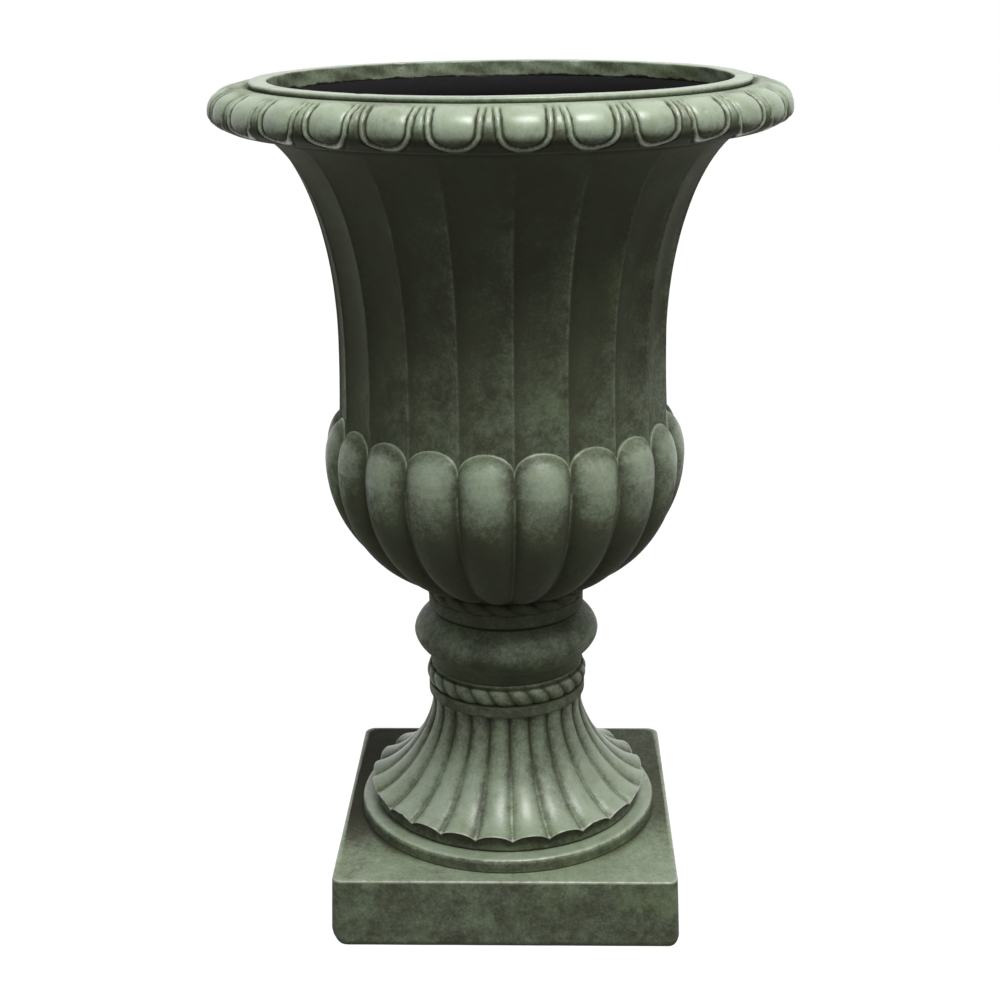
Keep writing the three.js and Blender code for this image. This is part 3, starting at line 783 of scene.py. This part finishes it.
def makeKnop():
    k = knop
    base = level("knop", 0) + k["spigotLength"]
    middle = base + k["land"] + k["halfHeight"]
    core = k["radius"] - k["reach"]
    recess = k["ringRadius"] - k["recess"]
    ringBase = middle + k["halfHeight"] - k["trim"]
    ropeBase = ringBase + k["ringHeight"]
    top = level("knop", 1)
    low = ovalDegrees(core, k["reach"], k["power"], k["neckRadius"])
    high = ovalDegrees(core, k["reach"], k["power"], recess)
    rope = oval(k["ringRadius"] - k["ringEdge"], ropeBase + k["ropeHeight"] / 2,
                k["ropeRadius"] - k["ringRadius"] + k["ringEdge"], k["ropeHeight"] / 2, 2.0, -86, 90, 14)
    before = joined(
        [(k["spigotRadius"], base - k["spigotLength"]), (k["spigotRadius"], base)],
        [(k["neckRadius"] - 1, base), (k["neckRadius"], base + 0.6)],
        oval(core, middle, k["reach"], k["halfHeight"], k["power"], -low, high, 34),
        evenly([(recess, ringBase - 1.2), (recess + 0.6, ringBase - 0.2),
                (k["ringRadius"] - 2.4, ringBase)], 4),
        roundedCorner(k["ringRadius"], ringBase, k["ringEdge"], -90, 0, 5),
        evenly([(k["ringRadius"], ringBase + 3), (k["ringRadius"], ropeBase - 3)], 4),
        roundedCorner(k["ringRadius"], ropeBase, k["ringEdge"] - 0.4, 0, 84, 5),
    )
    after = [(k["bore"] + 0.1, top), (k["bore"], base - k["spigotLength"])]
    profile, isRope, strand, places = twistedRope(before, rope, after, k, flatEnd=True)
    swell = ridge((profile[:, 1:] - middle) / k["halfHeight"], 0.9)
    crest = np.where(isRope, 0.04 + 0.22 * strand, 0.27 + 0.20 * swell)
    # the recess under the ring is painted nearly black, as painted shade
    crest = np.where((profile[:, :1] < recess + 1.5) & ~isRope, 0.02, crest)
    castPiece("knopBody", "knop", places, crest, count=k["twists"], firstAngle=k["firstNotch"],
              swellDepth=0.18, swellScale=40.0, seed=9)


makeKnop()


foot = {
    "ribs": 24,
    "firstValley": 3.2,
    "columns": 26,
    "ribRadius": 138.0,
    "neckRadius": 74.5,
    "ribDepth": 7.0,
    "neckRibDepth": 2.4,
    "filletHeight": 1.7,  # of the line between two ribs
    "power": 1.55,
    "scallopTurn": 0.7,
    "skirtRadius": 132.5,
    "skirtHeight": 19.5,
    "scallopLip": 3.0,
    "flareHeight": 81.0,
    "straightNeck": 11.0,
    "bore": 58.0,
    "wall": 10.0,
    "twists": 26,
    "firstNotch": 4.4,
    "twistColumns": 16,
    "ringRadius": 77.3,
    "ringHeight": 12.5,
    "ringEdge": 2.0,
    "ropeRadius": 79.0,
    "ropeHeight": 17.0,
    "notchDepth": 2.0,
    "lean": 0.5,
    "knocks": ((-47, 137, 99, 3.5, 1.2), (15, 136, 99, 2.5, 1.0), (38, 137, 99, 3.0, 1.1),
               (-8, 104, 119, 2.0, 0.7)),
}


def makeFootFlare():
    f = foot
    base = level("foot", 0)
    scallop = base + f["skirtHeight"]
    flareTop = scallop + f["flareHeight"]
    ringBase = flareTop + f["straightNeck"]
    across = acrossBay(f["columns"])
    offset = np.abs(across)
    fall = roundFall(offset, 0.95)
    reach = f["ribRadius"] - f["neckRadius"]
    flank = oval(f["ribRadius"], flareTop, -reach, flareTop - scallop, f["power"], -90, 0, 54)
    flank = joined(flank, evenly([(f["neckRadius"], flareTop + 2), (f["neckRadius"], ringBase + 3)], 6))
    turn = across * 180 / f["ribs"]
    rows = Rows()

    def addRow(radius, height, crest, edge=0.0):
        rows.add(turnedPlaces(radius, height, turn), crest, edge)

    under = scallop - f["scallopLip"] - f["ribDepth"] * fall
    addRow(f["skirtRadius"] - 1.0, base, 0.1)
    addRow(f["skirtRadius"] - 0.2, base + 0.8, 0.25)
    # the skirt's face is painted darker towards the scalloped lip above it, and darkest in the corner under
    # the lip: painted shade
    for share in np.linspace(0.15, 0.92, 5):
        addRow(f["skirtRadius"] - 1.5 * share, base + (under - base) * share, 0.50 - 0.25 * share)
    addRow(f["skirtRadius"] - 1.0, under - 0.3, 0.08)
    for out, drop, edge in ((0.35, 2.9, 0.0), (0.75, 2.2, 0.2), (0.95, 1.2, 0.75)):
        radius = f["skirtRadius"] + (f["ribRadius"] - 2.1 * fall - f["skirtRadius"]) * out
        addRow(radius, scallop - f["ribDepth"] * fall - drop, 0.35 + 0.3 * out, edge)
    for count, (radius, height) in enumerate(flank):
        spread = (radius - f["neckRadius"]) / reach
        depth = f["neckRibDepth"] + (f["ribDepth"] - f["neckRibDepth"]) * spread
        halfWidth = math.pi * radius / f["ribs"]
        line = ridge((1 - offset) * halfWidth, 0.95) * eased(spread, 0.08, 0.35)
        sink = depth * fall - f["filletHeight"] * line
        soften = 0.8 * ridge(count, 1.2)
        crest = 0.12 + (0.46 + 0.28 * eased(spread, 0.0, 0.5)) * (1 - fall) + 0.34 * line
        addRow(
            radius - sink * (1 - f["scallopTurn"] * spread) - soften,
            height - sink * spread - soften * 0.6,
            crest,
            0.70 * ridge(count, 1.1) + 0.5 * line * eased(spread, 0.3, 0.7),
        )
    addRow(f["bore"] + 0.3, ringBase + 3, 0.1)
    cavityRadius = f["skirtRadius"] - f["wall"]
    cavity = oval(cavityRadius, flareTop, f["bore"] + 0.3 - cavityRadius, flareTop - scallop + f["wall"],
                  f["power"], 0, -90, 14)
    for radius, height in joined(cavity, [(cavityRadius, base)]):
        addRow(radius, height, 0.2)
    castPiece("footFlare", "foot", rows.places, **rows.marks, knocks=f["knocks"], count=f["ribs"],
              firstAngle=f["firstValley"] + 180 / f["ribs"], swellDepth=0.18, swellScale=42.0,
              seed=11, toneSpread=0.7)
    return ringBase


def makeFootNeck(ringBase):
    f = foot
    top = level("foot", 1)
    ropeBase = ringBase + f["ringHeight"]
    ring = joined(
        roundedCorner(f["ringRadius"], ringBase, f["ringEdge"], -90, 0, 6),
        evenly([(f["ringRadius"], ringBase + 3), (f["ringRadius"], ropeBase - 3)], 4),
        roundedCorner(f["ringRadius"], ropeBase, f["ringEdge"] - 0.3, 0, 88, 6),
    )
    rope = oval(f["neckRadius"], ropeBase + f["ropeHeight"] / 2, f["ropeRadius"] - f["neckRadius"],
                f["ropeHeight"] / 2, 1.9, -88, 88, 18)
    before = joined([(f["bore"], ringBase)], ring)
    after = [(f["neckRadius"], top - 0.8), (f["neckRadius"] - 0.8, top), (f["bore"], top)]
    profile, isRope, strand, places = twistedRope(before, rope, after, f)
    height = profile[:, 1:] - ropeBase  # on the rope
    # the rope is painted darker at both of its ends, as painted shade in the creases where it meets the ring
    # and the neck
    ends = ridge(height, 1.0) + ridge(height - f["ropeHeight"], 1.2)
    crest = np.where(isRope, 0.14 + 0.46 * strand, 0.40) * (1 - 0.8 * ends)
    castPiece("footNeck", "foot", places, crest, count=f["twists"], firstAngle=f["firstNotch"],
              swellDepth=0.15, swellScale=42.0, seed=13)


makeFootNeck(makeFootFlare())


plinth = {
    "sideColumns": 100,
    "width": 325.0,
    "height": 68.0,
    "draft": 2.5,
    "corner": 10.0,
    "edge": 3.0,
    "footEdge": 2.0,
    "wall": 11.0,
    "bore": 58.0,
    "stepRadius": 147.5,
    "stepEdge": 5.0,
    "stepColumns": 480,
    "leftFoot": 17.0,  # radius of the front corners where they meet the ground
    "rightFoot": 9.0,
    "footReach": 45.0,  # how far back that rounding fades
    "knocks": ((31, 190, 67, 4.0, 1.3), (52, 200, 67, 3.0, 1.0), (-38, 206, 66, 4.5, 1.2),
               (12, 166, 67, 2.5, 0.8)),
    "stepKnocks": ((-43, 146, 80, 4.0, 1.6), (-36, 147, 79, 3.0, 1.2), (28, 147, 80, 2.5, 0.9),
                   (-24, 147, 80, 3.5, 1.0)),
}


def squareRow(half, height):  # counter-clockwise from above, from the front's middle
    corner = plinth["corner"]
    straight = half - corner
    arc = corner * math.pi / 2
    perimeter = 8 * straight + 4 * arc
    step = np.linspace(0, perimeter, 4 * plinth["sideColumns"] + 1) % perimeter
    side = 2 * straight + arc
    quarter = np.floor((step + straight) / side) % 4
    along = (step + straight) % side - straight
    bend = np.clip(along - straight, 0, None) / corner
    x = np.where(along <= straight, along, straight + corner * np.sin(bend))
    y = np.where(along <= straight, -half, -straight - corner * np.cos(bend))
    turn = quarter * math.pi / 2
    return np.stack([x * np.cos(turn) - y * np.sin(turn), x * np.sin(turn) + y * np.cos(turn),
                     np.full_like(x, height)], axis=1)


def roundFoot(places, side, size, low):  # -1 is the left front corner, 1 the right one
    across = np.clip((size - low + side * places[..., 0]) / size, 0, 1)
    down = np.clip((size - places[..., 2]) / size, 0, 1)
    near = size * (1 - eased(places[..., 1] + low, 0, plinth["footReach"]))
    places[..., 0] -= side * near * across * (1 - np.sqrt(1 - down**2 / 2))
    places[..., 2] += near * down * (1 - np.sqrt(1 - across**2 / 2))


def makePlinthBlock():
    p = plinth
    half = p["width"] / 2
    guide = squareRow(half, 0)
    turn = np.degrees(np.arctan2(guide[:, 0], -guide[:, 1]))
    rows = Rows()

    def addSquare(reach, height, crest, edge=0.0):
        rows.add(squareRow(reach, height), crest, edge)

    def ring(radius, height):
        return turnedPlaces(radius, height, turn)

    low = half + p["draft"]
    for degrees in (-60, -30, 0):
        angle = math.radians(degrees)
        reach = low - p["footEdge"] * (1 - math.cos(angle))
        addSquare(reach, p["footEdge"] * (1 + math.sin(angle)), 0.30, 0.25)
    for share in np.linspace(0.06, 1, 26):
        reach = low - p["draft"] * share
        addSquare(reach, p["footEdge"] + (p["height"] - p["edge"] - p["footEdge"]) * share, 0.46)
    for reach, height in roundedCorner(half, p["height"], p["edge"], 12, 90, 7):
        addSquare(reach, height, 0.63, 0.84 * ridge(height - p["height"] + 0.9, 0.9))
    squareTop = rows.places[-1]
    roundTop = ring(p["stepRadius"] - 2, p["height"])
    for share in np.linspace(0, 1, 16)[1:]:
        places = squareTop + (roundTop - squareTop) * share
        # the top is painted darker towards the back and the left, as painted shade of the urn, and darker
        # where it meets the step, as painted shade in that corner
        back = eased(places[:, 1], -150, -20)
        left = eased(-places[:, 0], 20, 170)
        rows.add(places, 0.63 - 0.3 * eased(share, 0.8, 1.0) - 0.42 * back - 0.15 * left)
    under = p["height"] - p["wall"]
    inner = half - p["wall"]
    rows.add(ring(p["bore"] + 0.5, p["height"]), 0.2)
    rows.add(ring(p["bore"] + 0.5, under), 0.2)
    rows.add((rows.places[-1] + squareRow(inner, under)) / 2, 0.2)
    addSquare(inner, under, 0.15)
    for share in (0.5, 1.0):
        addSquare(inner + p["draft"] * share, under * (1 - share), 0.2)
    places = np.array(rows.places)
    roundFoot(places, -1, p["leftFoot"], low)
    roundFoot(places, 1, p["rightFoot"], low)
    castPiece("plinthBlock", "plinth", places, **rows.marks, knocks=p["knocks"],
              swellDepth=0.22, swellScale=26.0, seed=15)


def makePlinthStep():
    p = plinth
    top = level("plinth", 1)
    profile = joined(
        [(p["stepRadius"] - 0.4, p["height"] - 4), (p["stepRadius"] + 0.3, p["height"] + 0.5)],
        evenly([(p["stepRadius"], p["height"] + 1.5), (p["stepRadius"], top - p["stepEdge"] - 0.8)], 6),
        roundedCorner(p["stepRadius"], top, p["stepEdge"], 0, 90, 8),
        evenly([(p["stepRadius"] - p["stepEdge"] - 1, top), (foot["skirtRadius"] - 3, top)], 8),
        [(p["bore"] + 0.1, top), (p["bore"] + 0.1, p["height"] - 4)],
    )
    turn = np.linspace(-180, 180, p["stepColumns"] + 1)
    radius, height = profile[:, :1], profile[:, 1:]
    worn = ridge(height - top + 1.4, 1.6) * ridge(radius - p["stepRadius"] + 1.6, 2.4)
    crest = np.where(height > top - 1.5, 0.80, 0.46)
    # the step's foot, where it meets the block's top, is painted dark as shade in that corner
    crest = np.where(height < p["height"] + 1.2, 0.12, crest)
    castPiece("plinthStep", "plinth", turnedProfile(profile, turn), crest, 0.62 * worn,
              knocks=p["stepKnocks"], swellDepth=0.2, swellScale=40.0, seed=17)


makePlinthBlock()
makePlinthStep()


hardware = {
    "rodRadius": 6.0,
    "rodEnd": 4.4,
    "pitch": 1.75,
    "threadDepth": 1.0,
    "rowsPerPitch": 6,
    "columns": 28,
    "topThread": 30.0,
    "bottomThread": 46.0,
    "hole": 6.3,
    "flats": 18.0,
    "turnStep": 5.0,  # degrees between the columns of nuts, rings and bar
    "barLength": 160.0,
    "barWidth": 30.0,
}


def placed(name, places, slot, node, body="urn", smooth=True, closeRows=True):
    mesh = gridMesh(name, np.array(places), closeRows, closeColumns=True)
    piece = newObject(name, mesh)
    mesh.materials.append(finishes[slot])
    mesh.polygons.foreach_set("use_smooth", [smooth] * len(mesh.polygons))
    ready(piece, body, node)


def makeTieRod():
    h = hardware
    low, high = level("tie_rod", 0), level("tie_rod", 1)
    step = h["pitch"] / h["rowsPerPitch"]
    heights = np.concatenate([
        np.arange(low + 0.6, low + h["bottomThread"], step),
        np.linspace(low + h["bottomThread"] + 1, high - h["topThread"] - 1, 6),
        np.arange(high - h["topThread"], high - 0.6, step),
    ])
    turn = np.linspace(0, 360, h["columns"], endpoint=False)
    phase = heights[:, None] / h["pitch"] - turn / 360
    tooth = np.abs(2 * (phase - np.floor(phase)) - 1)
    threaded = (heights < low + h["bottomThread"]) | (heights > high - h["topThread"] - 0.5)
    depth = np.where(threaded[:, None], tooth * h["threadDepth"], 0.25)
    ends = 0.6 * (ridge(heights - low, 1.2) + ridge(heights - high, 1.2))[:, None]
    radius = np.pad(h["rodRadius"] - depth - ends, ((1, 1), (0, 0)), constant_values=h["rodEnd"])
    heights = np.concatenate([[low], heights, [high]])
    places = turnedPlaces(radius, heights[:, None], turn)
    placed("tieRod", places, "zinc_steel", "tie_rod", closeRows=False)


def makeNut(name, node):
    h = hardware
    low, high = level(node, 0), level(node, 1)
    turn = np.arange(0, 360, h["turnStep"])
    hexagon = h["flats"] / 2 / np.cos(np.radians((turn + 30) % 60 - 30))  # flats face the front
    reach = h["flats"] / 2 / math.cos(math.radians(30))
    rows = []
    for height, chamfer in ((low, 1.0), (low + 0.35, 0.5), (low + 0.8, 0.0), ((low + high) / 2, 0.0),
                            (high - 0.8, 0.0), (high - 0.35, 0.5), (high, 1.0)):
        rows.append(turnedPlaces(np.minimum(hexagon, reach - chamfer * 1.3), height, turn))
    for height, widening in ((high, 0.9), (high - 0.9, 0.0), (low + 0.9, 0.0), (low, 0.9)):
        rows.append(turnedPlaces(h["hole"] + widening, height, turn))
    placed(name, rows, "zinc_steel", node, smooth=False)


def makeRing(name, node, slot, bevel):
    h = hardware
    (low, high), outer = (level(node, 0), level(node, 1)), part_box(node)[1].x / mm
    profile = joined(
        roundedCorner(outer, low, bevel, -90, 0, 4),
        roundedCorner(outer, high, bevel, 0, 90, 4),
        [(h["hole"] + bevel, high), (h["hole"], high - bevel)],
        [(h["hole"], low + bevel), (h["hole"] + bevel, low)],
    )
    placed(name, turnedProfile(profile, np.arange(0, 360, h["turnStep"])), slot, node)


def makeBridgeBar():
    h = hardware
    low, high = level("bridge_bar", 0), level("bridge_bar", 1)
    degrees = np.arange(0, 360, h["turnStep"])
    out, side = (np.maximum(np.abs(wave(np.radians(degrees))), 1e-9) for wave in (np.cos, np.sin))
    rows = []
    for inset, height in ((0.9, low), (0.25, low + 0.25), (0.0, low + 0.9), (0.0, high - 0.9),
                          (0.25, high - 0.25), (0.9, high)):
        reach = np.minimum((h["barLength"] / 2 - inset) / side, (h["barWidth"] / 2 - inset) / out)
        rows.append(turnedPlaces(reach, height, degrees))
    for widening, height in ((0.5, high), (0.0, high - 0.5), (0.0, low + 0.5), (0.5, low)):
        rows.append(turnedPlaces(h["hole"] + widening, height, degrees))
    placed("bridgeBar", rows, "zinc_steel", "bridge_bar", smooth=False)


bung = {
    "fit": 0.3,  # round the shank and under the head
    "headRadius": 12.0,
    "headEdge": 1.4,
    "ribs": 3,
    "ribPitch": 2.6,
}


def makeBung():
    low, high = level("drain_bung", 0), level("drain_bung", 1)
    seat = bowlBase + bowl["floorThickness"] + bung["fit"]
    shank = bowl["drainRadius"] - bung["fit"]
    headRadius = bung["headRadius"]
    ribs = [seat - 8.4 + bung["ribPitch"] * i for i in range(bung["ribs"])]
    profile = joined(
        [(0.8, low), (shank - 1.6, low), (shank - 1.0, low + 0.6)],
        evenly([(shank - 0.7, low + 2), (shank, low + 5)], 3),
        *[[(shank, rib), (shank - 0.5, rib + 1)] for rib in ribs],
        [(shank, seat - 0.4), (shank + 0.4, seat), (headRadius - 0.8, seat), (headRadius, seat + 0.8)],
        roundedCorner(headRadius, high, bung["headEdge"], 0, 90, 5),
        [(7.4, high), (6.6, high - 0.7), (4.4, high - 0.7), (3.8, high), (0.8, high)],
    )
    places = turnedProfile(profile, np.arange(0, 360, 7.5))
    places[..., 0] += bowl["drainOffset"]
    placed("drainBung", places, "rubber", "drain_bung", body="bung", closeRows=False)


makeTieRod()
for nutName, nutNode in (("bowlNut", "bowl_nut"), ("bridgeNut", "bridge_nut"), ("lockNut", "lock_nut")):
    makeNut(nutName, nutNode)
makeRing("bowlWasher", "bowl_washer", "zinc_steel", 0.5)
makeRing("bridgeWasher", "bridge_washer", "zinc_steel", 0.4)
makeRing("bowlSeal", "bowl_seal", "rubber", 0.8)
makeBridgeBar()
makeBung()
print("hardware made")


view = {
    "place": (0.0417, -1.5248, 0.8963),
    "turn": 1.69,  # degrees towards -X
    "down": 18.39,
    "roll": -0.65,
    "lens": 60.04,
    "sensor": 36.0,
    "slide": -0.0015,  # shift of the frame, which centres the stem and the bowl
}


def makeCamera():
    data = bpy.data.cameras.new("photoCamera")
    data.lens = view["lens"]
    data.sensor_width = view["sensor"]
    data.sensor_fit = "HORIZONTAL"
    data.shift_x = view["slide"]
    camera = newObject("photoCamera", data)
    turns = ((view["turn"], "Z"), (90 - view["down"], "X"), (view["roll"], "Z"))
    turn, tilt, roll = (Matrix.Rotation(math.radians(degrees), 4, axis) for degrees, axis in turns)
    camera.matrix_world = Matrix.Translation(view["place"]) @ turn @ tilt @ roll
    bpy.context.scene.camera = camera


def seenThrough(graph):  # 1 for the camera's rays and for those that a shiny or clear surface sends on
    rays = graph.node("ShaderNodeLightPath")
    return graph.clamped(rays["Is Camera Ray"] + rays["Is Glossy Ray"] + rays["Is Transmission Ray"])


lights = {
    "overhead": {"place": (0.48, -1.06, 2.76), "size": 1.2, "power": 82.0},
    "leftFill": {"place": (-1.9, -1.3, 1.1), "size": 1.2, "power": 4.5, "colour": (0.97, 1.0, 1.0)},
    "rightFill": {"place": (1.9, -1.1, 1.3), "size": 1.2, "power": 3.5, "colour": (1.0, 1.0, 0.98)},
    "backFill": {"place": (-0.4, 2.4, 0.5), "size": 1.0, "power": 9.0},
}
studio = {
    "ambient": 0.15,
    "aim": (0.0, 0.0, 0.42),
}


def makeLights():
    for name, facts in lights.items():
        data = bpy.data.lights.new(name, "AREA")
        data.size = facts["size"]
        data.energy = facts["power"]
        data.color = facts.get("colour", (1.0, 1.0, 1.0))
        lamp = newObject(name, data)
        lamp.location = facts["place"]
        lamp.visible_glossy = name == "overhead"  # only the main light leaves highlights
        toAim = Vector(studio["aim"]) - lamp.location
        lamp.rotation_euler = toAim.to_track_quat("-Z", "Y").to_euler()
    world = bpy.data.worlds.new("studio")
    world.use_nodes = True
    bpy.context.scene.world = world
    graph = Graph(world.node_tree)
    shown = seenThrough(graph)
    plain = graph.node("ShaderNodeBackground", {}, {"Color": (1, 1, 1, 1), "Strength": studio["ambient"]})
    white = graph.node("ShaderNodeBackground", {}, {"Color": (1, 1, 1, 1), "Strength": 1.0})
    mixed = graph.node("ShaderNodeMixShader", {}, {0: shown, 1: plain, 2: white})
    graph.node("ShaderNodeOutputWorld", {}, {"Surface": mixed})


def makeFloor():
    reach = 6.0
    mesh = bpy.data.meshes.new("floor")
    corners = [(x * reach, y * reach, 0) for x, y in ((-1, -1), (1, -1), (1, 1), (-1, 1))]
    mesh.from_pydata(corners, [], [(0, 1, 2, 3)])
    floor = newObject("floor", mesh)
    material = bpy.data.materials.new("floorPaint")
    material.use_nodes = True
    graph = Graph(material.node_tree)
    lit = graph.node("ShaderNodeBsdfDiffuse", {}, {"Color": (0.22, 0.22, 0.22, 1)})
    white = graph.node("ShaderNodeEmission", {}, {"Color": (1, 1, 1, 1), "Strength": 1.12})
    mixed = graph.node("ShaderNodeMixShader", {}, {0: seenThrough(graph) * 0.93, 1: lit, 2: white})
    graph.node("ShaderNodeOutputMaterial", {}, {"Surface": mixed})
    mesh.materials.append(material)


makeCamera()
makeLights()
makeFloor()
bpy.context.scene.view_settings.view_transform = "Standard"
print("camera, light and floor made")
